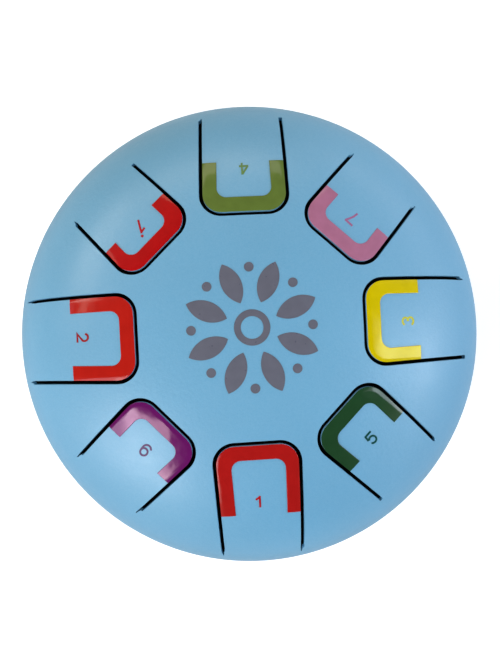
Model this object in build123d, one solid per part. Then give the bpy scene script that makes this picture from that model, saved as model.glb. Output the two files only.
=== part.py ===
from build123d import *
from collections import namedtuple
import math
import os

# Eight-note steel tongue drum, small hand size, in mm.
# Frame: origin on the table, at the centre of the ring of feet; +Z up through the crown;
# note 1 points to -Y (towards the player) and note 3 to +X.

# ------------------------------------------------------------------ shells
RIM_R = 76.0            # outer radius at the rim seam
RIM_Z = 45.0            # height of the rim seam above the table
SHEET = 1.2             # steel sheet thickness of both shells
CROWN_RISE = 40.0       # crown height above the rim seam
CROWN_POWER = 2.3       # superellipse power of the dome profile (2 would be an ellipse)
CROWN_STEPS = 34        # spans of the dome profile
INNER_END_RISE = 0.02   # the dome's inner face is sampled down to this height above the seam
INNER_CLEARANCE = 0.4   # least height of its sampled points above the weld root

BASE_Z = 7.0            # underside of the flat base above the table
BASE_TOP_Z = BASE_Z + SHEET
BASE_FLAT_R = 42.0      # radius where the flat base starts to curve up
BOWL_POWER = 2.2        # superellipse power of the lower bowl's side
BOWL_STEPS = 26         # spans of the bowl profile
BOWL_CLEARANCE = 0.5    # least drop of its sampled points below its top edge
SOUND_HOLE_R = 20.0     # central port in the base

WELD_ROOT = 0.10        # half width of the weld gap at the inner face
WELD_FACE = 0.35        # half width of the weld gap at the outer face
WELD_CROWN = 0.15       # how far the bead stands proud of the rim
WELD_CROWN_HALF = WELD_FACE * 0.45  # half width of the bead's flat crown

# ------------------------------------------------------------------ feet
FOOT_COUNT = 4
FOOT_START = 45         # direction of foot 1, degrees
FOOT_RING_R = 32.0      # radius of the circle of feet
FOOT_R = 6.5            # foot head radius
FOOT_STEM_R = 2.4       # stem radius
FOOT_HOLE_R = 2.5       # hole in the base for the stem
FOOT_HOLE_OVERCUT = 1.0  # how far the hole cutter passes each face of the sheet
FOOT_BARB_R = 3.2       # barb that locks above the sheet
FOOT_BARB_RIM = 0.8     # height of the barb's straight rim
FOOT_TIP_R = 1.5        # flat tip of the barb
FOOT_TIP_RISE = 3.2     # height of that tip above the sheet

# ------------------------------------------------------------------ tongues
SLIT = 1.2              # laser slit width
HALF_SLIT = SLIT / 2
SLIT_CORNER_R = 6.4     # centreline radius of the slit at the tongue's tip
WIDTH_REF = 50.0        # distance from the centre where a tongue's half width is given
WIDTH_SLOPE = -0.022    # change of half width per mm outwards
ROOT_GAP = 0.04         # running gap across the flexing root line
SLIT_OVERLAP = 0.2      # how far a slit end reaches back inside the root line

# Directions and turns: the cuts are not perfectly regular, so each tongue is turned by a few
# hundredths of a radian and lies a fraction of a millimetre off its own direction.
# direction: degrees; side_turn, tip_turn: slopes of its sides and of its tip line;
# offset, half_width: sideways shift and half width at WIDTH_REF;
# tip_r, root_r, mark_r: radii of the slit's tip, of the root and of the mark's arm ends
Tongue = namedtuple("Tongue", "direction side_turn tip_turn offset half_width tip_r root_r mark_r")
TONGUES = {
    1: Tongue(-90.0, 0.023, 0.011, -0.32, 13.27, 35.7, 70.0, 58.2),
    2: Tongue(180.0, -0.032, 0.002, 0.66, 13.51, 35.9, 69.6, 56.6),
    3: Tongue(0.0, 0.021, -0.011, 0.17, 13.19, 35.2, 67.7, 52.9),
    4: Tongue(90.0, -0.014, -0.010, -0.02, 13.45, 35.8, 67.7, 52.85),
    5: Tongue(-45.0, 0.031, 0.0, -0.16, 13.18, 36.75, 66.3, 52.8),
    6: Tongue(225.0, -0.063, -0.034, 0.22, 13.38, 38.2, 64.8, 52.9),
    7: Tongue(45.0, 0.050, 0.023, -0.08, 13.30, 36.1, 62.5, 49.75),
    8: Tongue(135.0, -0.059, -0.032, -0.18, 13.49, 36.9, 62.8, 49.35),
}
# Slit ends past the root line on the - side and the + side (+ is left, looking outwards):
# (full width length, tail length or 0 for a blunt end, tail's drift towards the + side)
SLIT_ENDS = {
    1: ((0.65, 2.20, 0.0), (0.95, 2.45, -0.30)),
    2: ((0.60, 2.50, 0.0), (1.45, 2.40, -0.15)),
    3: ((1.25, 0, 0), (0.70, 2.05, -0.30)),
    4: ((1.35, 0, 0), (1.15, 2.05, -0.30)),
    5: ((1.25, 0, 0), (1.05, 1.60, -0.10)),
    6: ((1.20, 3.00, -0.35), (0.85, 2.75, -0.50)),
    7: ((0.90, 2.20, -0.35), (0.90, 2.30, -0.30)),
    8: ((1.45, 0, 0), (0.90, 2.10, -0.20)),
}

# ------------------------------------------------------------------ marks, digits and decal
MARK_EDGE = 0.05        # bare steel left between the slit and the colour mark
MARK_INNER_R = 3.0      # inner corner radius of the mark
MARK_OVERCUT = 1.0      # how far the mark's inner cut passes its arm ends
MARK_T = 0.25           # mark thickness
DECAL_T = 0.12          # thickness of digits and centre decal
LAYER_GAP = 0.01        # glue line under marks, digits and decal
LAYER_END_RISE = 1.0    # the layers stop this far above the rim seam

# Distance from the slit's centreline to the mark's inner edge: (+ arm, - arm, bar)
MARKS = {
    1: (4.75, 5.20, 5.10), 2: (5.18, 5.15, 5.05), 3: (4.86, 4.94, 5.00), 4: (5.04, 5.04, 5.35),
    5: (4.98, 5.03, 5.10), 6: (5.16, 5.30, 4.95), 7: (5.35, 5.20, 5.30), 8: (4.90, 5.85, 5.10),
}

DIGIT_STROKE = 0.62     # stroke width of digits
DOTTED_NOTE = 8         # the high note shows a tilted 1 with a dot above it
DOTTED_TILT = 33.0      # clockwise tilt of that digit, degrees
DOT_AT = (0.02, 0.70)   # dot's centre in the glyph box
DOT_R = 0.10            # dot's radius as a fraction of the digit's height

# (radius of the digit's centre, sideways offset, height, width factor)
DIGITS = {
    1: (54.1, -0.38, 3.70, 1.00), 2: (52.9, -0.07, 4.20, 0.93),
    3: (49.0, -0.30, 4.25, 1.28), 4: (50.4, -0.20, 3.95, 0.93),
    5: (50.7, -0.48, 4.10, 1.07), 6: (50.3, 0.66, 4.50, 0.97),
    7: (46.8, -0.48, 4.55, 0.90), 8: (47.2, -0.42, 4.50, 0.92),
}

PETALS = 8
PETAL_PITCH = 360 / PETALS
PETAL_IN, PETAL_OUT = 8.2, 21.6     # radii of a petal's two points
PETAL_HALF_W = 3.1
PETAL_WIDEST = 0.58     # where a petal is given its half width, as a fraction of its length
RING_R, RING_HOLE_R = 5.6, 3.5
DOT_RING_R = 18.8       # radius of the circle of dots between the petals
DECAL_DOT_R = 1.5

# Upright cutters start inside the drum and end above the crown
CUT_Z = 30.0
CUT_HEIGHT = 70.0


# ------------------------------------------------------------------ profiles and revolves
def crown_curve(z_end):
    """Points (radius, z) of the dome's outer face from the crown down to z_end."""
    angle_end = math.acos(math.sqrt(((z_end - RIM_Z) / CROWN_RISE) ** CROWN_POWER))
    points = []
    for i in range(CROWN_STEPS + 1):
        angle = angle_end * i / CROWN_STEPS
        points.append((RIM_R * math.sin(angle) ** (2 / CROWN_POWER),
                       RIM_Z + CROWN_RISE * math.cos(angle) ** (2 / CROWN_POWER)))
    return points


def crown_normal(radius, z):
    """Outward unit normal of the dome profile."""
    normal_r = (radius / RIM_R) ** (CROWN_POWER - 1) / RIM_R
    normal_z = (max(0.0, z - RIM_Z) / CROWN_RISE) ** (CROWN_POWER - 1) / CROWN_RISE
    length = math.hypot(normal_r, normal_z)
    return normal_r / length, normal_z / length


def offset_crown(points, distance):
    """Dome profile moved outwards, with its first point kept on the axis."""
    moved = []
    for radius, z in points:
        normal_r, normal_z = crown_normal(radius, z)
        moved.append((radius + distance * normal_r, z + distance * normal_z))
    moved[0] = (0.0, points[0][1] + distance)
    return moved


def bowl_curve(offset, z_top):
    """Points (radius, z) of the bowl's side, moved outwards, from the flat base up to z_top."""
    width, height = RIM_R - BASE_FLAT_R, RIM_Z - BASE_Z
    points = []
    for i in range(BOWL_STEPS + 1):
        angle = (math.pi / 2) * i / BOWL_STEPS
        x = math.sin(angle) ** (2 / BOWL_POWER)
        y = max(0.0, math.cos(angle)) ** (2 / BOWL_POWER)
        normal_r = x ** (BOWL_POWER - 1) / width
        normal_z = y ** (BOWL_POWER - 1) / height
        length = math.hypot(normal_r, normal_z)
        radius = BASE_FLAT_R + width * x + offset * normal_r / length
        z = RIM_Z - height * y - offset * normal_z / length
        if z < z_top - BOWL_CLEARANCE:
            points.append((radius, z))
    points.append((RIM_R + offset, z_top))
    return points


def profile_spline(points, start, end):
    """Spline through (radius, z) points with the given end tangents."""
    return Spline(*[(radius, 0, z) for radius, z in points],
                  tangents=[(start[0], 0, start[1]), (end[0], 0, end[1])])


def profile_line(start, end):
    return Line((start[0], 0, start[1]), (end[0], 0, end[1]))


def spin(edges):
    """Solid of revolution about Z from a closed chain of edges in the XZ plane."""
    return revolve(Face(Wire(edges)), axis=Axis.Z, revolution_arc=360)


def spin_polygon(points):
    return spin([profile_line(start, end) for start, end in zip(points, points[1:] + points[:1])])


# ------------------------------------------------------------------ shells and weld
DOME_OUTER = crown_curve(RIM_Z + WELD_FACE)


def make_dome():
    """Upper shell before it is cut."""
    inner = offset_crown(crown_curve(RIM_Z + INNER_END_RISE), -SHEET)
    # stop the inner face at the weld root
    inner = [point for point in inner if point[1] > RIM_Z + WELD_ROOT + INNER_CLEARANCE]
    inner.append((RIM_R - SHEET, RIM_Z + WELD_ROOT))
    return spin([
        profile_spline(DOME_OUTER, (1, 0), (0, -1)),
        profile_line(DOME_OUTER[-1], inner[-1]),
        profile_spline(inner[::-1], (0, 1), (-1, 0)),
        profile_line(inner[0], DOME_OUTER[0]),
    ])


def make_bottom_shell():
    """Flat-based bowl with the sound hole and the holes for the feet."""
    outer = bowl_curve(0.0, RIM_Z - WELD_FACE)
    inner = bowl_curve(-SHEET, RIM_Z - WELD_ROOT)
    hole_low, hole_high = (SOUND_HOLE_R, BASE_Z), (SOUND_HOLE_R, BASE_TOP_Z)
    shell = spin([
        profile_line(hole_low, outer[0]),
        profile_spline(outer, (1, 0), (0, 1)),
        profile_line(outer[-1], inner[-1]),
        profile_spline(inner[::-1], (0, -1), (-1, 0)),
        profile_line(inner[0], hole_high),
        profile_line(hole_high, hole_low),
    ])
    for x, y in foot_places():
        shell = shell - upright(x, y, FOOT_HOLE_R, BASE_Z - FOOT_HOLE_OVERCUT,
                                SHEET + 2 * FOOT_HOLE_OVERCUT)
    return shell


def make_rim_weld():
    """Bead that fills the V groove between the two shells."""
    return spin_polygon([
        (RIM_R - SHEET, RIM_Z - WELD_ROOT),
        (RIM_R - SHEET, RIM_Z + WELD_ROOT),
        (DOME_OUTER[-1][0], RIM_Z + WELD_FACE),
        (RIM_R + WELD_CROWN, RIM_Z + WELD_CROWN_HALF),
        (RIM_R + WELD_CROWN, RIM_Z - WELD_CROWN_HALF),
        (RIM_R, RIM_Z - WELD_FACE),
    ])


# ------------------------------------------------------------------ feet
def foot_places():
    angles = [math.radians(FOOT_START + 360 / FOOT_COUNT * k) for k in range(FOOT_COUNT)]
    return [(FOOT_RING_R * math.cos(angle), FOOT_RING_R * math.sin(angle)) for angle in angles]


def make_foot():
    """Rounded head under the base, stem through it and barb above it; on the Z axis."""
    return spin_polygon([
        (0, 0.0), (FOOT_R - 1.3, 0.0), (FOOT_R - 0.4, 0.5), (FOOT_R, 1.6),
        (FOOT_R, BASE_Z - 1.0), (FOOT_R - 0.5, BASE_Z),
        (FOOT_STEM_R, BASE_Z), (FOOT_STEM_R, BASE_TOP_Z),
        (FOOT_BARB_R, BASE_TOP_Z), (FOOT_BARB_R, BASE_TOP_Z + FOOT_BARB_RIM),
        (FOOT_TIP_R, BASE_TOP_Z + FOOT_TIP_RISE), (0, BASE_TOP_Z + FOOT_TIP_RISE),
    ])


# ------------------------------------------------------------------ upright cutters and layers
def upright(x, y, radius, z=CUT_Z, height=CUT_HEIGHT):
    """Upright cylinder standing on height z."""
    return Pos(x, y, z) * Cylinder(radius, height, align=(Align.CENTER, Align.CENTER, Align.MIN))


def face_of(points):
    return Face(Wire.make_polygon([Vector(x, y, CUT_Z) for x, y in points], close=True))


def prism(face):
    return extrude(face, amount=CUT_HEIGHT, dir=(0, 0, 1))


def make_layer(thickness):
    """Skin over the dome's outer face, above the glue line."""
    base = crown_curve(RIM_Z + LAYER_END_RISE)
    low = offset_crown(base, LAYER_GAP)
    high = offset_crown(base, LAYER_GAP + thickness)
    normal_r, normal_z = crown_normal(*base[-1])
    return spin([
        profile_spline(high, (1, 0), (normal_z, -normal_r)),
        profile_line(high[-1], low[-1]),
        profile_spline(low[::-1], (-normal_z, normal_r), (-1, 0)),
        profile_line(low[0], high[0]),
    ])


# ------------------------------------------------------------------ tongues
def radial(direction, along, across):
    """Point at a distance along a direction (degrees) and across to its left."""
    cos, sin = math.cos(math.radians(direction)), math.sin(math.radians(direction))
    return (along * cos - across * sin, along * sin + across * cos)


def tongue_point(tongue, along, across):
    """Point in a tongue's own slightly turned frame."""
    side_length = math.hypot(1, tongue.side_turn)
    tip_length = math.hypot(1, tongue.tip_turn)
    past_ref = along - WIDTH_REF
    return radial(
        tongue.direction,
        WIDTH_REF + past_ref / side_length - across * tongue.tip_turn / tip_length,
        tongue.offset + past_ref * tongue.side_turn / side_length + across / tip_length)


def half_width(tongue, along):
    return tongue.half_width + WIDTH_SLOPE * (along - WIDTH_REF)


def tongue_area(tongue, start, end, grow_plus, grow_minus, corner_r):
    """Tongue-shaped face from start (rounded corners) out to end (square corners).

    The grow values move its + and - sides away from its middle.
    """
    start_half, end_half = half_width(tongue, start), half_width(tongue, end)
    corners = [tongue_point(tongue, *place) for place in [
        (start, -start_half - grow_minus), (start, start_half + grow_plus),
        (end, end_half + grow_plus), (end, -end_half - grow_minus)]]
    face = face_of(corners)
    tips = [vertex for vertex in face.vertices()
            if min(math.dist((vertex.X, vertex.Y), corner) for corner in corners[:2]) < 1e-3]
    return face.fillet_2d(corner_r, tips)


def slit_end(tongue, side, full, tail, drift):
    """Slit's run-out past the root line: a blunt end, or one that narrows to a thin tail."""
    # (distance past the root, distance from the slit's centreline towards the + side)
    if tail:
        outline = [
            (full - 0.10, -HALF_SLIT), (tail - 0.08, drift - 0.14),
            (tail, drift - 0.04), (tail, drift + 0.06), (tail - 0.08, drift + 0.13),
            (full + 0.18, drift * 0.6 + 0.24), (full, HALF_SLIT - 0.14), (full - 0.12, HALF_SLIT)]
    else:
        outline = [(full - 0.14, -HALF_SLIT), (full, -HALF_SLIT + 0.14),
                   (full, HALF_SLIT - 0.14), (full - 0.14, HALF_SLIT)]
    outline = [(-SLIT_OVERLAP, -HALF_SLIT)] + outline + [(-SLIT_OVERLAP, HALF_SLIT)]
    points = []
    for past_root, shift in outline:
        along = tongue.root_r + past_root
        points.append(tongue_point(tongue, along, side * half_width(tongue, along) + shift))
    return face_of(points)


def make_top_shell(dome):
    """Dome with an opening for each tongue and the slit round it."""
    shell = dome
    for number, tongue in TONGUES.items():
        # the root gap spans only the opening: both slits run on past it
        shell = shell - prism(tongue_area(
            tongue, tongue.tip_r - HALF_SLIT, tongue.root_r + ROOT_GAP,
            HALF_SLIT, HALF_SLIT, SLIT_CORNER_R + HALF_SLIT))
        for side, end in zip((-1, 1), SLIT_ENDS[number]):
            shell = shell - prism(slit_end(tongue, side, *end))
    return shell


def make_tongue(tongue, dome):
    return dome & prism(tongue_area(
        tongue, tongue.tip_r + HALF_SLIT, tongue.root_r,
        -HALF_SLIT, -HALF_SLIT, SLIT_CORNER_R - HALF_SLIT))


def make_mark(number, layer):
    """Colour mark: a U that follows the tongue's tip."""
    tongue = TONGUES[number]
    inset = HALF_SLIT + MARK_EDGE
    plus_arm, minus_arm, bar = MARKS[number]
    outer = tongue_area(tongue, tongue.tip_r + inset, tongue.mark_r,
                        -inset, -inset, SLIT_CORNER_R - inset)
    inner = tongue_area(tongue, tongue.tip_r + bar, tongue.mark_r + MARK_OVERCUT,
                        -plus_arm, -minus_arm, MARK_INNER_R)
    return (prism(outer) - prism(inner)) & layer


# ------------------------------------------------------------------ digits
def arc(x, y, radius, start, end, steps=14):
    angles = [math.radians(start + (end - start) * i / steps) for i in range(steps + 1)]
    return [(x + radius * math.cos(angle), y + radius * math.sin(angle)) for angle in angles]


# Stroke centrelines (x, y) in a box one unit high and centred on the origin
GLYPHS = {
    1: [[(0.02, -0.5), (0.02, 0.5)], [(0.03, 0.42), (-0.31, 0.17)]],
    2: [arc(0.0, 0.125, 0.29, 165, -28) + [(-0.31, -0.415), (0.37, -0.415)]],
    3: [arc(0.0, 0.20, 0.215, 160, -90), arc(0.0, -0.19, 0.225, 90, -160)],
    4: [[(0.13, -0.5), (0.13, 0.5)], [(0.11, 0.46), (-0.35, -0.20)],
        [(-0.42, -0.22), (0.38, -0.22)]],
    5: [[(0.32, 0.415), (-0.24, 0.415), (-0.29, 0.02)], arc(0.0, -0.14, 0.275, 150, -155)],
    6: [arc(0.03, 0.10, 0.315, 28, 180) + [(-0.272, -0.15)],
        arc(0.0, -0.15, 0.265, 0, 360, 22)],
    7: [[(-0.37, 0.415), (0.37, 0.415)],
        [(0.33, 0.42), (0.16, 0.14), (0.02, -0.18), (-0.04, -0.5)]],
}
GLYPHS[DOTTED_NOTE] = GLYPHS[1]
MITRE_LIMIT = 0.45      # least cosine used when a stroke's corner is mitred


def stroke_loops(path, width):
    """Outline loops of a stroke along path; a closed path gives two, one inside the other."""
    closed = math.dist(path[0], path[-1]) < 1e-6
    if closed:
        path = path[:-1]
    count = len(path)
    left, right = [], []
    for i, (x, y) in enumerate(path):
        spans = []
        if closed or i > 0:
            spans.append((path[i - 1], path[i]))
        if closed or i < count - 1:
            spans.append((path[i], path[(i + 1) % count]))
        normals = []
        for start, end in spans:
            length = math.dist(start, end)
            normals.append((-(end[1] - start[1]) / length, (end[0] - start[0]) / length))
        mitre_x = sum(normal[0] for normal in normals) / len(normals)
        mitre_y = sum(normal[1] for normal in normals) / len(normals)
        length = math.hypot(mitre_x, mitre_y)
        mitre_x, mitre_y = mitre_x / length, mitre_y / length
        cosine = mitre_x * normals[0][0] + mitre_y * normals[0][1]
        reach = width / 2 / max(MITRE_LIMIT, cosine)
        left.append((x + mitre_x * reach, y + mitre_y * reach))
        right.append((x - mitre_x * reach, y - mitre_y * reach))
    return [left, right] if closed else [left + right[::-1]]


def make_digit(number, layer):
    """Digit whose top points to the centre of the drum."""
    radius, sideways, height, widen = DIGITS[number]
    tilt = math.radians(-DOTTED_TILT if number == DOTTED_NOTE else 0.0)

    def place(glyph_x, glyph_y):
        x = glyph_x * math.cos(tilt) - glyph_y * math.sin(tilt)
        y = glyph_x * math.sin(tilt) + glyph_y * math.cos(tilt)
        return radial(TONGUES[number].direction, radius - y * height, sideways + x * height)

    body = None
    for path in GLYPHS[number]:
        loops = stroke_loops([(x * widen, y) for x, y in path], DIGIT_STROKE / height)
        faces = [face_of([place(*point) for point in loop]) for loop in loops]
        faces.sort(key=lambda face: -face.area)
        stroke = prism(faces[0])
        if len(faces) == 2:
            stroke = stroke - prism(faces[1])
        body = stroke if body is None else body + stroke
    if number == DOTTED_NOTE:
        body = body + upright(*place(*DOT_AT), DOT_R * height)
    return body & layer


# ------------------------------------------------------------------ centre decal
def make_petal(direction):
    """Face of one petal: two arcs that meet in points."""
    widest = PETAL_IN + PETAL_WIDEST * (PETAL_OUT - PETAL_IN)
    inner, left, outer, right = [
        Vector(*radial(direction, along, across), CUT_Z)
        for along, across in [(PETAL_IN, 0), (widest, PETAL_HALF_W),
                              (PETAL_OUT, 0), (widest, -PETAL_HALF_W)]]
    return Face(Wire([ThreePointArc(inner, left, outer), ThreePointArc(outer, right, inner)]))


def make_emblem(layer):
    """Rosette: a ring, eight petals and a dot between each pair of petals."""
    decal = upright(0, 0, RING_R) - upright(0, 0, RING_HOLE_R)
    for k in range(PETALS):
        direction = PETAL_PITCH * (k + 0.5)
        decal = decal + prism(make_petal(direction))
        x, y = radial(direction + PETAL_PITCH / 2, DOT_RING_R, 0)
        decal = decal + upright(x, y, DECAL_DOT_R)
    return decal & layer


# ------------------------------------------------------------------ build and write
dome = make_dome()
mark_layer = make_layer(MARK_T)
decal_layer = make_layer(DECAL_T)

nodes = {
    "top_shell": make_top_shell(dome),
    "bottom_shell": make_bottom_shell(),
    "rim_weld": make_rim_weld(),
    "emblem": make_emblem(decal_layer),
}
for k, (x, y) in enumerate(foot_places(), start=1):
    nodes[f"foot_{k}"] = Pos(x, y, 0) * make_foot()
for number, tongue in TONGUES.items():
    nodes[f"tongue_{number}"] = make_tongue(tongue, dome)
    nodes[f"mark_{number}"] = make_mark(number, mark_layer)
    nodes[f"digit_{number}"] = make_digit(number, decal_layer)

os.makedirs("parts", exist_ok=True)
for name, solid in nodes.items():
    export_step(solid, f"parts/{name}.step")
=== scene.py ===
"""Steel tongue drum standing on its four rubber feet.

The drum's axis is Z and the floor is z = 0. Two pressed shells meet at the rim: the crown above
carries eight tongues cut free by slits, the bowl below has a sound hole and the feet. Sizes are in
millimetres and are scaled to metres when a mesh or the camera is made.

Each tongue has a frame (u, v): u runs outwards from the axis along its heading, v to the left of it.
"""

import math
from collections import namedtuple

import bpy
import numpy as np
from mathutils import Matrix, Vector
from mathutils.geometry import delaunay_2d_cdt


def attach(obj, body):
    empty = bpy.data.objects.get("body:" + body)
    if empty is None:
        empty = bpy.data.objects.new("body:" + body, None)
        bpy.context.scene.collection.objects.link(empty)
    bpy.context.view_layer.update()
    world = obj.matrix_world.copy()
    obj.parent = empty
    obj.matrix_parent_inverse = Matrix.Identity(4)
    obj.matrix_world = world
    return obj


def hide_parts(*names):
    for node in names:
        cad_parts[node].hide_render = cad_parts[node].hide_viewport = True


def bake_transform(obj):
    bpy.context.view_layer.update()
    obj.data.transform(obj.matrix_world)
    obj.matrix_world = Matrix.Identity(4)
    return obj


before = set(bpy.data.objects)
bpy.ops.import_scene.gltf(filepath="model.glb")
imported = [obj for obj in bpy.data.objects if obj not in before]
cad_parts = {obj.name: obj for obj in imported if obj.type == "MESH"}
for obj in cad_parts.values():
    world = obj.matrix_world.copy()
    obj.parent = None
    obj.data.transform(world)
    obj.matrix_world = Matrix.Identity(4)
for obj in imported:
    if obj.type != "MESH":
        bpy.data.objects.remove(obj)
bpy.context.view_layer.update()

MM = 0.001

# ------------------------------------------------------------------ sizes, mm
RIM_R, RIM_Z, SHEET = 76.0, 45.0, 1.2
CROWN_RISE, CROWN_POWER = 40.0, 2.3          # the crown is a superellipse of this height and power
BASE_Z, BASE_FLAT_R, BOWL_POWER, SOUND_HOLE_R = 7.0, 42.0, 2.2, 20.0
WELD_ROOT, WELD_FACE, WELD_CROWN = 0.10, 0.35, 0.15     # half heights inside and outside; bulge
FOOT_RING_R, FOOT_R, FOOT_STEM_R, FOOT_HOLE_R, FOOT_BARB_R = 32.0, 6.5, 2.4, 2.5, 3.2
FOOT_GROOVE = 0.28
SLIT, SLIT_CORNER_R = 1.2, 6.4               # width; corner radius of the slit's centreline
HALF_SLIT = SLIT / 2
WIDTH_REF_U, WIDTH_SLOPE = 50.0, -0.022      # where half widths are given; their change with u
CUT_EDGE_R = 0.05                            # rounding of the cut steel edges
CUT_EDGE_FADE = 0.9                          # a tongue's rounding fades out this near its root
SOUND_HOLE_EDGE_R, FOOT_HOLE_EDGE_R = 0.35, 0.1
MARK_INNER_R = 3.0
MARK_TOP, MARK_DROP, MARK_MARGIN = 0.26, 0.15, 1.5   # height; fall to the outer edge, and its width
FILM_BOTTOM, DECAL_TOP = 0.004, 0.12         # heights of the printed films above the steel
DIGIT_STROKE, HIGH_NOTE_TILT = 0.62, 33.0    # line width; tilt in degrees of the high note's digit
PETAL_IN, PETAL_OUT, PETAL_HALF_W = 8.2, 21.6, 3.1
PETAL_WIDEST = 0.58                          # widest place, as a share of the petal's length
EMBLEM_RING_R, EMBLEM_RING_HOLE_R = 5.6, 3.5
EMBLEM_DOT_RING_R, EMBLEM_DOT_R, EMBLEM_EDGE_R = 18.8, 1.5, 0.06

RIM_STEPS, ROOT_STEPS = 360, 20

# heading in degrees, turn of the sides, turn of the tip line, sideways offset and half width at
# WIDTH_REF_U, then u of the slit's tip, of the root line and of the mark's arm ends
Tongue = namedtuple("Tongue", "heading side_turn tip_turn offset half_width tip root arm_end")
TONGUES = {
    1: Tongue(-90.0, 0.023, 0.011, -0.32, 13.27, 35.7, 70.0, 58.2),
    2: Tongue(180.0, -0.032, 0.002, 0.66, 13.51, 35.9, 69.6, 56.6),
    3: Tongue(0.0, 0.021, -0.011, 0.17, 13.19, 35.2, 67.7, 52.9),
    4: Tongue(90.0, -0.014, -0.010, -0.02, 13.45, 35.8, 67.7, 52.85),
    5: Tongue(-45.0, 0.031, 0.0, -0.16, 13.18, 36.75, 66.3, 52.8),
    6: Tongue(225.0, -0.063, -0.034, 0.22, 13.38, 38.2, 64.8, 52.9),
    7: Tongue(45.0, 0.050, 0.023, -0.08, 13.30, 36.1, 62.5, 49.75),
    8: Tongue(135.0, -0.059, -0.032, -0.18, 13.49, 36.9, 62.8, 49.35),
}
# distance from the slit's centreline to the mark's inner edge on the +v arm, the -v arm and the bar
MARKS = {
    1: (4.75, 5.20, 5.10), 2: (5.18, 5.15, 5.05), 3: (4.86, 4.94, 5.00), 4: (5.04, 5.04, 5.35),
    5: (4.98, 5.03, 5.10), 6: (5.16, 5.30, 4.95), 7: (5.35, 5.20, 5.30), 8: (4.90, 5.85, 5.10),
}
# slit ends past the root line, -v side then +v side:
# (full width length, length to the tail's end or 0 for a blunt end, tail's sideways drift)
SLIT_ENDS = {
    1: ((0.65, 2.20, 0.0), (0.95, 2.45, -0.30)), 2: ((0.60, 2.50, 0.0), (1.45, 2.40, -0.15)),
    3: ((1.25, 0, 0), (0.70, 2.05, -0.30)), 4: ((1.35, 0, 0), (1.15, 2.05, -0.30)),
    5: ((1.25, 0, 0), (1.05, 1.60, -0.10)), 6: ((1.20, 3.00, -0.35), (0.85, 2.75, -0.50)),
    7: ((0.90, 2.20, -0.35), (0.90, 2.30, -0.30)), 8: ((1.45, 0, 0), (0.90, 2.10, -0.20)),
}
# digits: (u, v, height, width factor)
DIGITS = {
    1: (54.1, -0.38, 3.70, 1.00), 2: (52.9, -0.07, 4.20, 0.93), 3: (49.0, -0.30, 4.25, 1.28),
    4: (50.4, -0.20, 3.95, 0.93), 5: (50.7, -0.48, 4.10, 1.07), 6: (50.3, 0.66, 4.50, 0.97),
    7: (46.8, -0.48, 4.55, 0.90), 8: (47.2, -0.42, 4.50, 0.92),
}
MARK_SLOT = {1: "mark_red", 2: "mark_red", 3: "mark_yellow", 4: "mark_olive",
             5: "mark_green", 6: "mark_purple", 7: "mark_pink", 8: "mark_red"}


# ------------------------------------------------------------------ surfaces of revolution
class Surface:
    """A profile from the inside out, with outward normals.

    Points are addressed in a flat plane whose radius is the arc length, so triangles stay well
    shaped on steep sides.
    """

    def __init__(self, radius, height, normal_r, normal_z):
        self.radius, self.height = np.array(radius, float), np.array(height, float)
        length = np.hypot(normal_r, normal_z)
        self.normal_r, self.normal_z = np.array(normal_r) / length, np.array(normal_z) / length
        steps = np.hypot(np.diff(self.radius), np.diff(self.height))
        self.arc = self.radius[0] + np.concatenate([[0], np.cumsum(steps)])

    def flatten(self, plan):
        """Plan points to flat points."""
        plan = np.asarray(plan, float)
        radius = np.hypot(plan[:, 0], plan[:, 1])
        arc = np.interp(radius, self.radius, self.arc)
        return plan * (arc / np.maximum(radius, 1e-9))[:, None]

    def lift(self, flat, offset):
        """Flat points to points in space, offset along the normal; returns points and normals."""
        arc = np.hypot(flat[:, 0], flat[:, 1])
        ray = flat / np.maximum(arc, 1e-9)[:, None]
        radius, height, normal_r, normal_z = (
            np.interp(arc, self.arc, column)
            for column in (self.radius, self.height, self.normal_r, self.normal_z))
        normals = np.column_stack([ray[:, 0] * normal_r, ray[:, 1] * normal_r, normal_z])
        normals /= np.linalg.norm(normals, axis=1)[:, None]
        points = np.column_stack([ray[:, 0] * radius, ray[:, 1] * radius, height])
        return points + normals * np.broadcast_to(offset, (len(arc),))[:, None], normals


def crown_surface():
    end = math.acos(math.sqrt((WELD_FACE / CROWN_RISE) ** CROWN_POWER))
    angle = end * (np.linspace(0, 1, 1500) ** 0.9)
    radius = RIM_R * np.sin(angle) ** (2 / CROWN_POWER)
    height = RIM_Z + CROWN_RISE * np.cos(angle) ** (2 / CROWN_POWER)
    normal_r = (radius / RIM_R) ** (CROWN_POWER - 1) / RIM_R
    normal_z = ((height - RIM_Z) / CROWN_RISE) ** (CROWN_POWER - 1) / CROWN_RISE
    return Surface(radius, height, normal_r, normal_z)


def bowl_surface():
    """A flat base, then a superelliptic side up to the rim."""
    width, rise, flat_steps = RIM_R - BASE_FLAT_R, RIM_Z - BASE_Z, 40
    end = math.acos((WELD_FACE / rise) ** (BOWL_POWER / 2))
    angle = np.linspace(0, end, 1200)[1:]
    x, y = np.sin(angle) ** (2 / BOWL_POWER), np.cos(angle) ** (2 / BOWL_POWER)
    radius = np.concatenate([np.linspace(SOUND_HOLE_R - 1.0, BASE_FLAT_R, flat_steps),
                             BASE_FLAT_R + width * x])
    height = np.concatenate([np.full(flat_steps, BASE_Z), RIM_Z - rise * y])
    normal_r = np.concatenate([np.zeros(flat_steps), x ** (BOWL_POWER - 1) / width])
    normal_z = np.concatenate([np.full(flat_steps, -1.0 / rise), -y ** (BOWL_POWER - 1) / rise])
    return Surface(radius, height, normal_r, normal_z)


CROWN, BOWL = crown_surface(), bowl_surface()


# ------------------------------------------------------------------ plan geometry
def half_width(n, u):
    """Half the distance between the centrelines of a tongue's two side slits."""
    return TONGUES[n].half_width + WIDTH_SLOPE * (u - WIDTH_REF_U)


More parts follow.
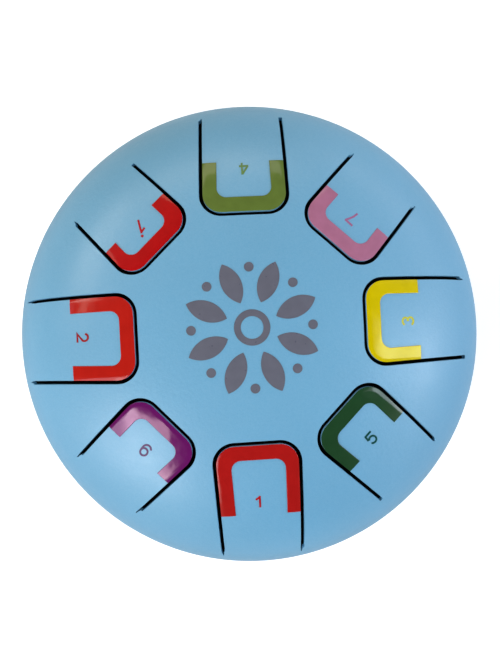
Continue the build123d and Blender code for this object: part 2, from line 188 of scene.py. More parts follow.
def rotate(degrees, points):
    cos, sin = math.cos(math.radians(degrees)), math.sin(math.radians(degrees))
    points = np.asarray(points, float)
    return np.column_stack([points[:, 0] * cos - points[:, 1] * sin,
                            points[:, 0] * sin + points[:, 1] * cos])


def tongue_plan(n, points):
    """Points (u, v) of a tongue's slightly turned frame, in plan."""
    tongue = TONGUES[n]
    points = np.asarray(points, float)
    side, tip = math.hypot(1, tongue.side_turn), math.hypot(1, tongue.tip_turn)
    along, across = points[:, 0] - WIDTH_REF_U, points[:, 1]
    return rotate(tongue.heading, np.column_stack([
        WIDTH_REF_U + along / side - across * tongue.tip_turn / tip,
        tongue.offset + along * tongue.side_turn / side + across / tip]))


def polar(radius, degrees):
    angle = math.radians(degrees)
    return radius * math.cos(angle), radius * math.sin(angle)


def circle(x, y, radius, count):
    angle = np.arange(count) * 2 * math.pi / count
    return np.column_stack([x + radius * np.cos(angle), y + radius * np.sin(angle)])


def line(start, end, step):
    """Points from start towards end, without the end."""
    count = max(1, int(math.ceil(math.dist(start, end) / step)))
    return [(start[0] + (end[0] - start[0]) * i / count,
             start[1] + (end[1] - start[1]) * i / count) for i in range(count)]


def resample(loop, step):
    loop = [tuple(p) for p in loop]
    return np.array([p for i, start in enumerate(loop)
                     for p in line(start, loop[(i + 1) % len(loop)], step)])


def shorter_turn(first, second):
    """Signed angle from one direction to another, the short way round."""
    return (second - first + math.pi) % (2 * math.pi) - math.pi


def fillet(before, corner, after, radius, steps):
    """Arc rounding the corner of a path."""
    before, corner, after = (np.array(p, float) for p in (before, corner, after))
    back = (before - corner) / np.linalg.norm(before - corner)
    ahead = (after - corner) / np.linalg.norm(after - corner)
    angle = math.acos(float(back @ ahead))
    tangent = radius / math.tan(angle / 2)
    bisector = (back + ahead) / np.linalg.norm(back + ahead)
    centre = corner + bisector * radius / math.sin(angle / 2)
    first, last = corner + back * tangent - centre, corner + ahead * tangent - centre
    start = math.atan2(first[1], first[0])
    sweep = shorter_turn(start, math.atan2(last[1], last[0]))
    return [(centre[0] + radius * math.cos(start + sweep * i / steps),
             centre[1] + radius * math.sin(start + sweep * i / steps)) for i in range(steps + 1)]


def tip_path(n, u_in, u_out, out_plus, out_minus, corner_r, step=1.2, arc_steps=14):
    """From u_out in along +v, round the tip at u_in and back out along -v, in plan.

    out_plus and out_minus are how far the two sides lie outside the slit's centreline.
    """
    corners = [tuple(p) for p in tongue_plan(n, [
        (u_out, half_width(n, u_out) + out_plus), (u_in, half_width(n, u_in) + out_plus),
        (u_in, -half_width(n, u_in) - out_minus), (u_out, -half_width(n, u_out) - out_minus)])]
    one = fillet(*corners[:3], corner_r, arc_steps)
    two = fillet(*corners[1:], corner_r, arc_steps)
    return (line(corners[0], one[0], step) + one[:-1] + line(one[-1], two[0], step) + two[:-1]
            + line(two[-1], corners[3], step) + [corners[3]])


def root_line(n):
    """The line a tongue bends about, from -v to +v."""
    root = TONGUES[n].root
    half = half_width(n, root) - HALF_SLIT
    return [tuple(p) for p in tongue_plan(
        n, [(root, -half + 2 * half * i / ROOT_STEPS) for i in range(ROOT_STEPS + 1)])]


def tongue_loop(n):
    """Closed outline of a tongue, anticlockwise, and the edge rounding at each point."""
    tongue, root = TONGUES[n], root_line(n)
    path = tip_path(n, tongue.tip + HALF_SLIT, tongue.root, -HALF_SLIT, -HALF_SLIT,
                    SLIT_CORNER_R - HALF_SLIT)
    points = np.array(root + path[1:-1])
    start, end = np.array(root[0]), np.array(root[-1])
    along = (end - start) / np.linalg.norm(end - start)
    from_root = np.abs((points - start) @ np.array([-along[1], along[0]]))
    radii = np.where(np.arange(len(points)) <= ROOT_STEPS, 0.0,
                     CUT_EDGE_R * np.minimum(1.0, from_root / CUT_EDGE_FADE))
    return points, radii


def slit_end(n, side):
    """A slit's run-out past the root line, from its -v to its +v edge for side 1, mirrored for -1.

    It is blunt, or narrows to a thin tail. Stations are (u, distance outside the centreline); the
    small hundredths clip the corners.
    """
    full, tail, drift = SLIT_ENDS[n][0 if side < 0 else 1]
    root, half = TONGUES[n].root, HALF_SLIT
    shoulder = root + full
    if tail:
        tail_end = root + tail
        stations = [
            (root + full * 0.5, -half), (shoulder - 0.10, -half),
            (root + (full + tail) / 2, (drift - 0.14 - half) / 2),
            (tail_end - 0.08, drift - 0.14), (tail_end, drift - 0.04),
            (tail_end, drift + 0.06), (tail_end - 0.08, drift + 0.13),
            (shoulder + 0.18, drift * 0.6 + 0.24), (shoulder, half - 0.14),
            (shoulder - 0.12, half), (root + full * 0.5, half)]
    else:
        stations = [
            (root + full * 0.5, -half), (shoulder - 0.14, -half), (shoulder, -half + 0.14),
            (shoulder, half - 0.14), (shoulder - 0.14, half), (root + full * 0.5, half)]
    return [tuple(p) for p in tongue_plan(
        n, [(u, side * half_width(n, u) + out) for u, out in stations])]


def opening_loop(n):
    """Closed outline of the slit's outer edge with both run-outs, anticlockwise, and rounding."""
    tongue = TONGUES[n]
    path = tip_path(n, tongue.tip - HALF_SLIT, tongue.root, HALF_SLIT, HALF_SLIT,
                    SLIT_CORNER_R + HALF_SLIT)
    sections = [(root_line(n), 0.0), (slit_end(n, 1), CUT_EDGE_R * 0.6),
                (path, CUT_EDGE_R), (slit_end(n, -1), CUT_EDGE_R * 0.6)]
    return join_sections(sections)


def join_sections(sections):
    """One loop, and its radii, from (points, edge radius) sections."""
    return (np.array([p for points, _ in sections for p in points]),
            np.array([radius for points, radius in sections for _ in points]))


# ------------------------------------------------------------------ triangulation
CHUNK = 4000         # points handled at once, to limit memory


def left_mitre(loop):
    """Mitred unit offset to the left of travel at each point of a closed loop, and its direction."""
    along = np.roll(loop, -1, 0) - loop
    along /= np.maximum(np.linalg.norm(along, axis=1), 1e-9)[:, None]
    normal = np.column_stack([-along[:, 1], along[:, 0]])
    direction = normal + np.roll(normal, 1, 0)
    direction /= np.maximum(np.linalg.norm(direction, axis=1), 1e-9)[:, None]
    stretch = 1 / np.clip((direction * normal).sum(1), 0.55, 1)
    return direction * stretch[:, None], direction


def inside(loops, points):
    """Even-odd test of points against all loops."""
    result = np.zeros(len(points), bool)
    for loop in loops:
        start, end = loop, np.roll(loop, -1, 0)
        start_y, end_y = start[None, :, 1], end[None, :, 1]
        for i in range(0, len(points), CHUNK):
            x, y = points[i:i + CHUNK, 0][:, None], points[i:i + CHUNK, 1][:, None]
            spans = (start_y > y) != (end_y > y)
            with np.errstate(divide="ignore", invalid="ignore"):
                cross_x = (start[None, :, 0] + (y - start_y)
                           * (end[None, :, 0] - start[None, :, 0]) / (end_y - start_y))
            hits = spans & (x < cross_x)
            result[i:i + CHUNK] ^= (hits.sum(1) % 2).astype(bool)
    return result


def fill_points(loops, step):
    """Concentric rings of points inside the loops, kept clear of the outlines."""
    low = np.min([loop.min(0) for loop in loops], 0)
    high = np.max([loop.max(0) for loop in loops], 0)
    reach = max(np.hypot(*np.abs(np.array([low, high])).max(0)), 1)
    rings = [np.zeros((1, 2))] if (low < 0).all() and (high > 0).all() else []
    k = 1
    while k * step < reach:
        count = max(6, int(round(2 * math.pi * k)))
        angle = (np.arange(count) + 0.5 * (k % 2)) * 2 * math.pi / count
        rings.append(np.column_stack([np.cos(angle), np.sin(angle)]) * k * step)
        k += 1
    points = np.vstack(rings)
    points = points[((points > low) & (points < high)).all(1)]
    points = points[inside(loops, points)]
    keep = np.ones(len(points), bool)
    for loop in loops:
        edge = np.roll(loop, -1, 0) - loop
        length2 = np.maximum((edge ** 2).sum(1), 1e-12)
        for i in range(0, len(points), CHUNK):
            some = points[i:i + CHUNK]
            share = ((some[:, None] - loop[None]) * edge[None]).sum(2) / length2[None]
            nearest = loop[None] + np.clip(share, 0, 1)[..., None] * edge[None]
            distance = np.linalg.norm(some[:, None] - nearest, axis=2).min(1)
            keep[i:i + CHUNK] &= distance > 0.55 * step
    return points[keep]


def triangulate(loops, extra, keep_test):
    """Anticlockwise triangles whose centres pass keep_test.

    Returns points, triangles and the input index of each point, or None where points were merged
    or added.
    """
    points = np.vstack(list(loops) + ([extra] if len(extra) else []))
    edges, base = [], 0
    for loop in loops:
        count = len(loop)
        edges += [(base + i, base + (i + 1) % count) for i in range(count)]
        base += count
    verts, _, faces, origins, _, _ = delaunay_2d_cdt(
        [Vector((float(x), float(y))) for x, y in points], edges, [], 0, 1e-6)
    out = np.array([[v.x, v.y] for v in verts])
    tri = np.array([list(f) for f in faces if len(f) == 3])
    tri = tri[keep_test(out[tri].mean(1))]
    one, two, three = out[tri[:, 0]], out[tri[:, 1]], out[tri[:, 2]]
    area = ((two[:, 0] - one[:, 0]) * (three[:, 1] - one[:, 1])
            - (two[:, 1] - one[:, 1]) * (three[:, 0] - one[:, 0]))
    tri[area < 0] = tri[area < 0][:, ::-1]
    tri = tri[np.abs(area) > 1e-9]
    remap = None
    if len(out) == len(points) and all(len(o) >= 1 for o in origins):
        remap = np.array([o[0] for o in origins])
    return out, tri, remap


# ------------------------------------------------------------------ mesh building
class Part:
    """Collects vertices with their own shading normals, in mm."""

    def __init__(self):
        self.verts, self.normals, self.faces, self.face_mats = [], [], [], []
        self.count = 0

    def add(self, points, normals):
        ids = np.arange(self.count, self.count + len(points))
        self.verts.append(points)
        self.normals.append(normals)
        self.count += len(points)
        return ids

    def face(self, ids, mat=0):
        self.faces.append(tuple(int(i) for i in ids))
        self.face_mats.append(mat)

    def strip(self, one, two, mat=0):
        """Quads between two closed rings."""
        count = len(one)
        for i in range(count):
            j = (i + 1) % count
            self.face((one[i], one[j], two[j], two[i]), mat)

    def merged_faces(self, merged):
        """Faces on merged vertices, without collapsed or repeated ones, and their materials."""
        faces, mats, seen = [], [], set()
        for face, mat in zip(self.faces, self.face_mats):
            ids = []
            for i in face:
                k = int(merged[i])
                if not ids or ids[-1] != k:
                    ids.append(k)
            if len(ids) > 1 and ids[0] == ids[-1]:
                ids.pop()
            key = tuple(sorted(ids))
            if len(set(ids)) == len(ids) >= 3 and key not in seen:
                seen.add(key)
                faces.append(ids)
                mats.append(mat)
        return faces, mats

    def build(self, piece, mats, slot, carrier=None):
        """Makes the object that replaces a piece, and has it ride on its carrier."""
        verts, normals = np.vstack(self.verts), np.vstack(self.normals)
        key = np.round(verts / 0.002).astype(np.int64)
        _, first, merged = np.unique(key, axis=0, return_index=True, return_inverse=True)
        faces, face_mats = self.merged_faces(merged.ravel())
        verts, normals = verts[first] * MM, normals[first]
        volume = 0.0
        for face in faces:
            for i in range(1, len(face) - 1):
                volume += float(np.dot(verts[face[0]],
                                       np.cross(verts[face[i]], verts[face[i + 1]])))
        if volume < 0:
            faces = [face[::-1] for face in faces]
        used = np.zeros(len(verts), bool)
        for face in faces:
            used[face] = True
        new = np.cumsum(used) - 1
        faces = [[int(new[i]) for i in face] for face in faces]
        mesh = bpy.data.meshes.new(piece + "_v")
        mesh.from_pydata([tuple(map(float, p)) for p in verts[used]], [], faces)
        for mat in mats:
            mesh.materials.append(mat)
        mesh.polygons.foreach_set("material_index", np.array(face_mats, np.int32))
        mesh.polygons.foreach_set("use_smooth", np.ones(len(faces), bool))
        mesh.update()
        mesh.normals_split_custom_set_from_vertices(
            [tuple(map(float, q / max(np.linalg.norm(q), 1e-9))) for q in normals[used]])
        obj = bpy.data.objects.new(piece + "_v", mesh)
        bpy.context.scene.collection.objects.link(obj)
        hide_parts(piece)
        if carrier:
            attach(obj, carrier)
        return obj


def plate(surface, loops, radii, step, top=0.0, bottom=-SHEET, bottom_r=0.05, rings=4,
          relief=None, under_mat=0):
    """A sheet on a surface, bounded by closed loops, with rounded edges.

    Loops run with the material on their left, and radii holds the top edge's rounding at each of
    their points. relief gives an extra height of the top face at flat points.
    """
    part = Part()
    mitres = [left_mitre(loop) for loop in loops]

    def ring(k, inset, height, up):
        """Loop k moved inwards; up is the surface normal's share, None on the underside."""
        mitre, direction = mitres[k]
        edge = loops[k] + mitre * inset[:, None]
        if relief is not None and up is not None:
            height = height + relief(surface.flatten(edge))
        points, normals = surface.lift(surface.flatten(edge), height)
        side = points - surface.lift(surface.flatten(edge + direction * 0.01), height)[0]
        side /= np.maximum(np.linalg.norm(side, axis=1), 1e-12)[:, None]
        up = up or 0.0
        return points, normals * up + side * math.sqrt(max(0.0, 1 - up ** 2))

    flat = [surface.flatten(loop + mitre * radius[:, None])
            for loop, (mitre, _), radius in zip(loops, mitres, radii)]
    out, tri, remap = triangulate(flat, fill_points(flat, step), lambda c: inside(flat, c))
    if remap is None:
        raise RuntimeError("outlines cross each other")
    if relief is None:
        points, normals = surface.lift(out, top)
    else:
        def raised(shift):
            return surface.lift(out + shift, top + relief(out + shift))[0]
        points = raised(0.0)
        dx, dy = np.array([0.02, 0.0]), np.array([0.0, 0.02])
        normals = np.cross(raised(dx) - raised(-dx), raised(dy) - raised(-dy))
        normals /= np.linalg.norm(normals, axis=1)[:, None]
    upper = part.add(points, normals)
    for t in tri:
        part.face(upper[t])

    # the underside has the same triangles, mirrored
    back = np.zeros(len(remap), int)
    back[remap] = np.arange(len(remap))
    loop_ids = np.split(back, np.cumsum([len(loop) for loop in loops]))
    low_flat = out.copy()
    for ids, loop, (mitre, _), radius in zip(loop_ids, loops, mitres, radii):
        low_flat[ids] = surface.flatten(loop + mitre * np.minimum(bottom_r, radius)[:, None])
    points, normals = surface.lift(low_flat, bottom)
    lower = part.add(points, -normals)
    for t in tri:
        part.face(lower[t][::-1], under_mat)

    # walls, from the top face down round both edges
    for k, (ids, radius) in enumerate(zip(loop_ids, radii)):
        previous = upper[ids]
        for j in range(rings - 1, -1, -1):
            angle = math.pi / 2 * j / rings
            current = part.add(*ring(k, radius * (1 - math.cos(angle)),
                                     top - radius * (1 - math.sin(angle)), math.sin(angle)))
            part.strip(current, previous)
            previous = current
        low_r = np.minimum(bottom_r, radius)
        for j in range(2):
            angle = math.pi / 2 * j / 2
            current = part.add(*ring(k, low_r * (1 - math.cos(angle)),
                                     bottom + low_r * (1 - math.sin(angle)), None))
            part.strip(current, previous, 0 if j == 0 else under_mat)
            previous = current
        part.strip(lower[ids], previous, under_mat)
    return part


def union_plate(surface, shapes, top, bottom, step=0.35, edge_r=0.05):
    """A thin plate, the union of overlapping shapes; each is an outline and any hole in it."""
    flat = [[surface.flatten(resample(loop, step)) for loop in shape] for shape in shapes]

    def covered(centres):
        return np.any([inside(shape, centres) for shape in flat], axis=0)

    out, tri, _ = triangulate([loop for shape in flat for loop in shape],
                              np.zeros((0, 2)), covered)
    edges = dict.fromkeys((int(i), int(j)) for t in tri for i, j in zip(t, np.roll(t, -1)))
    rim = [edge for edge in edges if edge[::-1] not in edges]
    inward = np.zeros((len(out), 2))
    for i, j in rim:
        along = out[j] - out[i]
        along /= max(np.linalg.norm(along), 1e-9)
        for k in (i, j):
            inward[k] += (-along[1], along[0])
    length = np.linalg.norm(inward, axis=1)
    on_rim = length > 1e-6
    inward[on_rim] /= length[on_rim][:, None]

    part = Part()
    # the top face is pulled in a little at its boundary, to round the edge
    upper = part.add(*surface.lift(out + inward * edge_r, top))
    points, normals = surface.lift(out, top - edge_r)
    side = surface.lift(out - inward * 0.01, top - edge_r)[0] - points
    length = np.linalg.norm(side, axis=1)[:, None]
    side = np.where(length > 1e-9, side / np.maximum(length, 1e-9), normals)
    middle = part.add(points, side * 0.8 + normals * 0.4)
    points, normals = surface.lift(out, bottom)
    lower = part.add(points, np.where(on_rim[:, None], side, -normals))
    for t in tri:
        part.face(upper[t])
        part.face(lower[t][::-1])
    for i, j in rim:
        part.face((upper[j], upper[i], middle[i], middle[j]))
        part.face((middle[j], middle[i], lower[i], lower[j]))
    return part


def rounded_profile(profile, steps=5):
    """Points and normals (r, z) of a closed list of (r, z, rounding) corners."""
    points, normals = [], []
    corners = [np.array(p[:2], float) for p in profile]
    for i, corner in enumerate(corners):
        radius = profile[i][2]
        back, ahead = corners[i - 1] - corner, corners[(i + 1) % len(corners)] - corner
        back_length, ahead_length = np.linalg.norm(back), np.linalg.norm(ahead)
        back, ahead = back / back_length, ahead / ahead_length
        angle = math.acos(max(-1, min(1, float(back @ ahead))))
        if radius <= 0 or abs(math.pi - angle) < 1e-3:
            for along in (-back, ahead):
                points.append(corner)
                normals.append((along[1], -along[0]))
            continue
        tangent = min(radius / math.tan(angle / 2), 0.49 * min(back_length, ahead_length))
        radius = tangent * math.tan(angle / 2)
        bisector = (back + ahead) / np.linalg.norm(back + ahead)
        centre = corner + bisector * (radius / math.sin(angle / 2))
        first, last = corner + back * tangent - centre, corner + ahead * tangent - centre
        start = math.atan2(first[1], first[0])
        sweep = shorter_turn(start, math.atan2(last[1], last[0]))
        turn = back[0] * ahead[1] - back[1] * ahead[0]
        for k in range(steps + 1):
            spoke = np.array([math.cos(start + sweep * k / steps),
                              math.sin(start + sweep * k / steps)])
            points.append(centre + radius * spoke)
            normals.append(tuple(spoke if turn < 0 else -spoke))
    return points, normals


def lathe(profile, count, centre=(0, 0), wobble=None):
    """Solid of revolution from a closed profile; wobble(angle, r) is added to the radius."""
    part, rings = Part(), []
    angle = np.arange(count) * 2 * math.pi / count
    for (r, z), normal in zip(*rounded_profile(profile)):
        radius = np.full(count, max(float(r), 0.0))
        if wobble is not None:
            radius = radius + wobble(angle, float(r))
        points = np.column_stack([centre[0] + radius * np.cos(angle),
                                  centre[1] + radius * np.sin(angle), np.full(count, z)])
        length = math.hypot(*normal)
        out, up = normal[0] / length, normal[1] / length
        rings.append(part.add(points, np.column_stack(
            [out * np.cos(angle), out * np.sin(angle), np.full(count, up)])))
    for i, ring in enumerate(rings):
        part.strip(ring, rings[(i + 1) % len(rings)])
    return part


# ------------------------------------------------------------------ shader helpers
class Nodes:
    """A node tree with short ways to add nodes; an input is either a value or a socket to link."""

    def __init__(self, tree):
        self.tree, self.object_socket = tree, None

    def feed(self, node, inputs):
        for name, value in inputs.items():
            if isinstance(value, bpy.types.NodeSocket):
                self.tree.links.new(value, node.inputs[name])
            else:
                node.inputs[name].default_value = value

    def new(self, kind, inputs=None, **settings):
        node = self.tree.nodes.new("ShaderNode" + kind)
        for name, value in settings.items():
            setattr(node, name, value)
        self.feed(node, inputs or {})
        return node

    def coords(self):
        if self.object_socket is None:
            self.object_socket = self.new("TexCoord").outputs["Object"]
        return self.object_socket

    def noise(self, scale, detail=3.0, rough=0.5):
        return self.new("TexNoise", {"Vector": self.coords(), "Scale": scale, "Detail": detail,
                                     "Roughness": rough}).outputs["Fac"]

    def ramp(self, source, low=0.0, high=1.0, span=(0.3, 0.7)):
        """Maps the span of the source onto low..high."""
        return self.new("MapRange", {"From Min": span[0], "From Max": span[1], "To Min": low,
                                     "To Max": high, "Value": source}).outputs["Result"]

    def mix(self, factor, first, second):
        return self.new("Mix", {0: factor, 6: first, 7: second}, data_type="RGBA").outputs[2]

    def bump(self, height, strength, distance, below=None):
        inputs = {"Strength": strength, "Distance": distance, "Height": height}
        if below is not None:
            inputs["Normal"] = below
        return self.new("Bump", inputs).outputs[0]


def new_material(name):
    """A material whose only shader is a Principled one; returns it, its nodes, shader and output."""
    material = bpy.data.materials.new(name)
    material.use_nodes = True
    material.node_tree.nodes.clear()
    nodes = Nodes(material.node_tree)
    output = nodes.new("OutputMaterial")
    shader = nodes.new("BsdfPrincipled")
    nodes.feed(output, {0: shader.outputs[0]})
    return material, nodes, shader, output


def srgb(rgb):
    """0-255 sRGB to linear RGBA."""
    return tuple((x / 12.92 if x <= 0.04045 else ((x + 0.055) / 1.055) ** 2.4)
                 for x in [v / 255 for v in rgb]) + (1.0,)


def shade(colour, factor):
    return tuple(min(1, x * factor) for x in colour[:3]) + (1,)


def grey(level):
    return (level, level, level, 1.0)


# ------------------------------------------------------------------ materials
def paint_material():
    """Satin blue paint: cloudy tone, fine pale flakes and a slight orange peel."""
    material, nodes, shader, _ = new_material("satin_blue_paint")
    base = srgb((104, 165, 200))
    cloud = nodes.noise(scale=22.0, detail=4.0, rough=0.55)
    grain = nodes.noise(scale=1900.0, detail=2.0, rough=0.6)
    flake = nodes.new("TexVoronoi", {"Scale": 3600.0, "Vector": nodes.coords()}).outputs["Color"]
    flake_parts = nodes.new("SeparateColor", {0: flake})
    colour = nodes.mix(nodes.ramp(cloud), shade(base, 0.965), shade(base, 1.03))
    colour = nodes.mix(nodes.ramp(flake_parts.outputs[0], high=0.06, span=(0.0, 1.0)),
                       colour, srgb((205, 228, 240)))
    colour = nodes.mix(nodes.ramp(grain, high=0.06, span=(0.35, 0.65)),
                       colour, srgb((84, 140, 182)))
    roughness = nodes.ramp(nodes.noise(scale=300.0), low=0.38, high=0.46)
    peel = nodes.bump(nodes.noise(scale=760.0, detail=2.5, rough=0.6),
                      strength=0.8, distance=0.00012)
    nodes.feed(shader, {
        "Base Color": colour, "Roughness": roughness, "Specular IOR Level": 0.5,
        "Metallic": 0.0, "Coat Weight": 0.12, "Coat Roughness": 0.22,
        "Normal": nodes.bump(grain, strength=0.30, distance=0.00003, below=peel)})
    return material


def inside_material():
    material, nodes, shader, _ = new_material("bare_steel_inside")
    stain = nodes.noise(scale=140.0, detail=5.0, rough=0.6)
    nodes.feed(shader, {
        "Base Color": nodes.mix(nodes.ramp(stain), srgb((24, 25, 27)), srgb((44, 43, 42))),
        "Metallic": 0.6,
        "Roughness": nodes.ramp(stain, low=0.55, high=0.75),
        "Normal": nodes.bump(nodes.noise(scale=900.0), strength=0.3, distance=0.00005)})
    return material


def rubber_material():
    material, nodes, shader, _ = new_material("black_rubber")
    mottle = nodes.noise(scale=500.0, detail=4.0, rough=0.6)
    nodes.feed(shader, {
        "Base Color": nodes.mix(nodes.ramp(mottle), srgb((26, 26, 28)), srgb((42, 42, 45))),
        "Roughness": nodes.ramp(mottle, low=0.62, high=0.8),
        "Normal": nodes.bump(nodes.noise(scale=2600.0, rough=0.6),
                             strength=0.35, distance=0.00005)})
    return material


def vinyl_material(name, rgb, rough=0.10, wave=0.5, spec=0.22, tint=(1, 1, 1)):
    """Glossy film; wave is the strength of its ripples, tint colours its reflections."""
    material, nodes, shader, _ = new_material(name)
    base = srgb(rgb)
    tone = nodes.ramp(nodes.noise(scale=260.0))
    colour = nodes.mix(tone, shade(base, 0.93), shade(base, 1.05))
    roughness = nodes.ramp(nodes.noise(scale=700.0, detail=2.0),
                           low=rough * 0.8, high=rough * 1.3)
    ripples = nodes.bump(nodes.noise(scale=170.0, detail=1.5, rough=0.4),
                         strength=wave, distance=0.0002)
    nodes.feed(shader, {
        "Base Color": colour, "Roughness": roughness,
        "Specular IOR Level": spec, "Specular Tint": (*tint, 1),
        "Normal": nodes.bump(nodes.noise(scale=1500.0, detail=2.0),
                             strength=0.06, distance=0.00002, below=ripples)})
    return material


PAINT = paint_material()
INSIDE = inside_material()
RUBBER = rubber_material()
VINYL = {       # one print run per note: the three reds are not quite the same
    1: vinyl_material("vinyl_red", (166, 24, 22), spec=0.2),
    2: vinyl_material("vinyl_warm_red", (178, 29, 20), spec=0.2),
    8: vinyl_material("vinyl_high_red", (172, 18, 19), spec=0.16),
    3: vinyl_material("vinyl_yellow", (207, 185, 0), spec=0.5, tint=(1.0, 1.0, 0.42)),
    4: vinyl_material("vinyl_olive", (94, 114, 50), spec=0.2),
    5: vinyl_material("vinyl_green", (31, 65, 37), spec=0.36),
    6: vinyl_material("vinyl_purple", (99, 20, 91), spec=0.56, wave=0.6, tint=(1.0, 0.66, 0.80)),
    7: vinyl_material("vinyl_pink", (168, 107, 136), spec=0.22),
}
DIGIT_RGB = {1: (170, 30, 36), 2: (150, 34, 36), 3: (196, 196, 60), 4: (92, 128, 70),
             5: (22, 72, 66), 6: (82, 38, 92), 7: (160, 100, 138), 8: (170, 26, 34)}
DECAL = vinyl_material("decal_grey", (98, 99, 112), rough=0.34, wave=0.1, spec=0.5)


# ------------------------------------------------------------------ shells and tongues
def foot_centre(k):
    return polar(FOOT_RING_R, 45 + 90 * k)


def build_top_shell():
    loops, radii = [circle(0, 0, CROWN.radius[-1], RIM_STEPS)], [np.zeros(RIM_STEPS)]
    for n in TONGUES:
        points, rounding = opening_loop(n)
        loops.append(points[::-1])
        radii.append(rounding[::-1])
    plate(CROWN, loops, radii, step=2.0, under_mat=1).build(
        "top_shell", [PAINT, INSIDE], "shell_paint", "drum_shell")


def build_bottom_shell():
    loops = [circle(0, 0, BOWL.radius[-1], RIM_STEPS), circle(0, 0, SOUND_HOLE_R, 160)[::-1]]
    radii = [np.zeros(RIM_STEPS), np.full(160, SOUND_HOLE_EDGE_R)]
    for k in range(4):
        loops.append(circle(*foot_centre(k), FOOT_HOLE_R, 40)[::-1])
        radii.append(np.full(40, FOOT_HOLE_EDGE_R))
    plate(BOWL, loops, radii, step=2.2, under_mat=1).build(
        "bottom_shell", [PAINT, INSIDE], "shell_paint", "drum_shell")


def build_tongue(n):
    points, radii = tongue_loop(n)
    obj = plate(CROWN, [points], [radii], step=1.6, under_mat=1).build(
        f"tongue_{n}", [PAINT, INSIDE], "shell_paint")
    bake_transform(obj)


build_top_shell()
build_bottom_shell()
for note in TONGUES:
    build_tongue(note)


# ------------------------------------------------------------------ marks
def edge_relief(outer):
    """Relief that thins a mark towards its outer edge, extended past the arm ends."""
    path = np.array(outer)
    run = CROWN.flatten(np.vstack([2 * path[0] - path[1], path, 2 * path[-1] - path[-2]]))
    edges = np.diff(run, axis=0)
    length2 = (edges ** 2).sum(1)

    def relief(points):
        nearest = np.full(len(points), 1e9)
        for start, edge, squared in zip(run, edges, length2):
            share = np.clip(((points - start) @ edge) / squared, 0, 1)
            distance = np.linalg.norm(points - (start + share[:, None] * edge), axis=1)
            nearest = np.minimum(nearest, distance)
        return -MARK_DROP * (1 - np.clip(nearest / MARK_MARGIN, 0, 1)) ** 2
    return relief


def build_mark(n):
    """U-shaped vinyl round a tongue's tip, its arms along the sides."""
    tongue, step = TONGUES[n], 0.6
    arm_plus, arm_minus, bar = MARKS[n]
    outer = tip_path(n, tongue.tip + HALF_SLIT, tongue.arm_end, -HALF_SLIT, -HALF_SLIT,
                     SLIT_CORNER_R - HALF_SLIT, step)
    inner = tip_path(n, tongue.tip + bar, tongue.arm_end, -arm_plus, -arm_minus,
                     MARK_INNER_R, step, arc_steps=10)
    loop, radii = join_sections([
        (line(inner[0], outer[0], step), 0.10), (outer[:-1], 0.07),
        (line(outer[-1], inner[-1], step), 0.10), (inner[:0:-1], 0.18)])
    plate(CROWN, [loop], [radii], step=0.5, top=MARK_TOP, bottom=FILM_BOTTOM, bottom_r=0.0,
          relief=edge_relief(outer)).build(f"mark_{n}", [VINYL[n]], MARK_SLOT[n], f"note_{n}")


for note in TONGUES:
    build_mark(note)


# ------------------------------------------------------------------ digits
def arc(x, y, radius, start, end, steps=18):
    """Arc between two angles in degrees."""
    angles = [math.radians(start + (end - start) * i / steps) for i in range(steps + 1)]
    return [(x + radius * math.cos(a), y + radius * math.sin(a)) for a in angles]


# strokes as (x, y) paths, in units of the digit's height about its centre
GLYPHS = {
    1: [[(0.02, -0.5), (0.02, 0.5)], [(0.03, 0.42), (-0.31, 0.17)]],
    2: [arc(0.0, 0.125, 0.29, 165, -28) + [(-0.31, -0.415), (0.37, -0.415)]],
    3: [arc(0.0, 0.20, 0.215, 160, -90), arc(0.0, -0.19, 0.225, 90, -160)],
    4: [[(0.13, -0.5), (0.13, 0.5)], [(0.11, 0.46), (-0.35, -0.20)],
        [(-0.42, -0.22), (0.38, -0.22)]],
    5: [[(0.32, 0.415), (-0.24, 0.415), (-0.29, 0.02)], arc(0.0, -0.14, 0.275, 150, -155)],
    6: [arc(0.03, 0.10, 0.315, 28, 180) + [(-0.272, -0.15)],
        arc(0.0, -0.15, 0.265, 0, 360, 28)],
    7: [[(-0.37, 0.415), (0.37, 0.415)], [(0.33, 0.42), (0.16, 0.14), (0.02, -0.18), (-0.04, -0.5)]],
}
HIGH_NOTE = 8        # written as a tilted 1 with a dot above
GLYPHS[HIGH_NOTE] = GLYPHS[1]
HIGH_NOTE_DOT = circle(0.02, 0.70, 0.10, 24)


def left_normal(start, end):
    dx, dy = end[0] - start[0], end[1] - start[1]
    return -dy / math.hypot(dx, dy), dx / math.hypot(dx, dy)


def stroke(path, width):
    """Outline of a path drawn with a pen; a closed path gives an outline and a hole."""
    closed = math.dist(path[0], path[-1]) < 1e-6
    if closed:
        path = path[:-1]
    count = len(path)
    left, right = [], []
    for i, (x, y) in enumerate(path):
        normals = []
        if closed or i > 0:
            normals.append(left_normal(path[i - 1], path[i]))
        if closed or i < count - 1:
            normals.append(left_normal(path[i], path[(i + 1) % count]))
        mx, my = sum(p[0] for p in normals), sum(p[1] for p in normals)
        length = math.hypot(mx, my)
        mx, my = mx / length, my / length
        stretch = 1 / max(0.45, mx * normals[0][0] + my * normals[0][1])
        left.append((x + mx * stretch * width / 2, y + my * stretch * width / 2))
        right.append((x - mx * stretch * width / 2, y - my * stretch * width / 2))
    if closed:
        return sorted((left, right), key=lambda loop: -max(math.hypot(*p) for p in loop))
    return [left + right[::-1]]


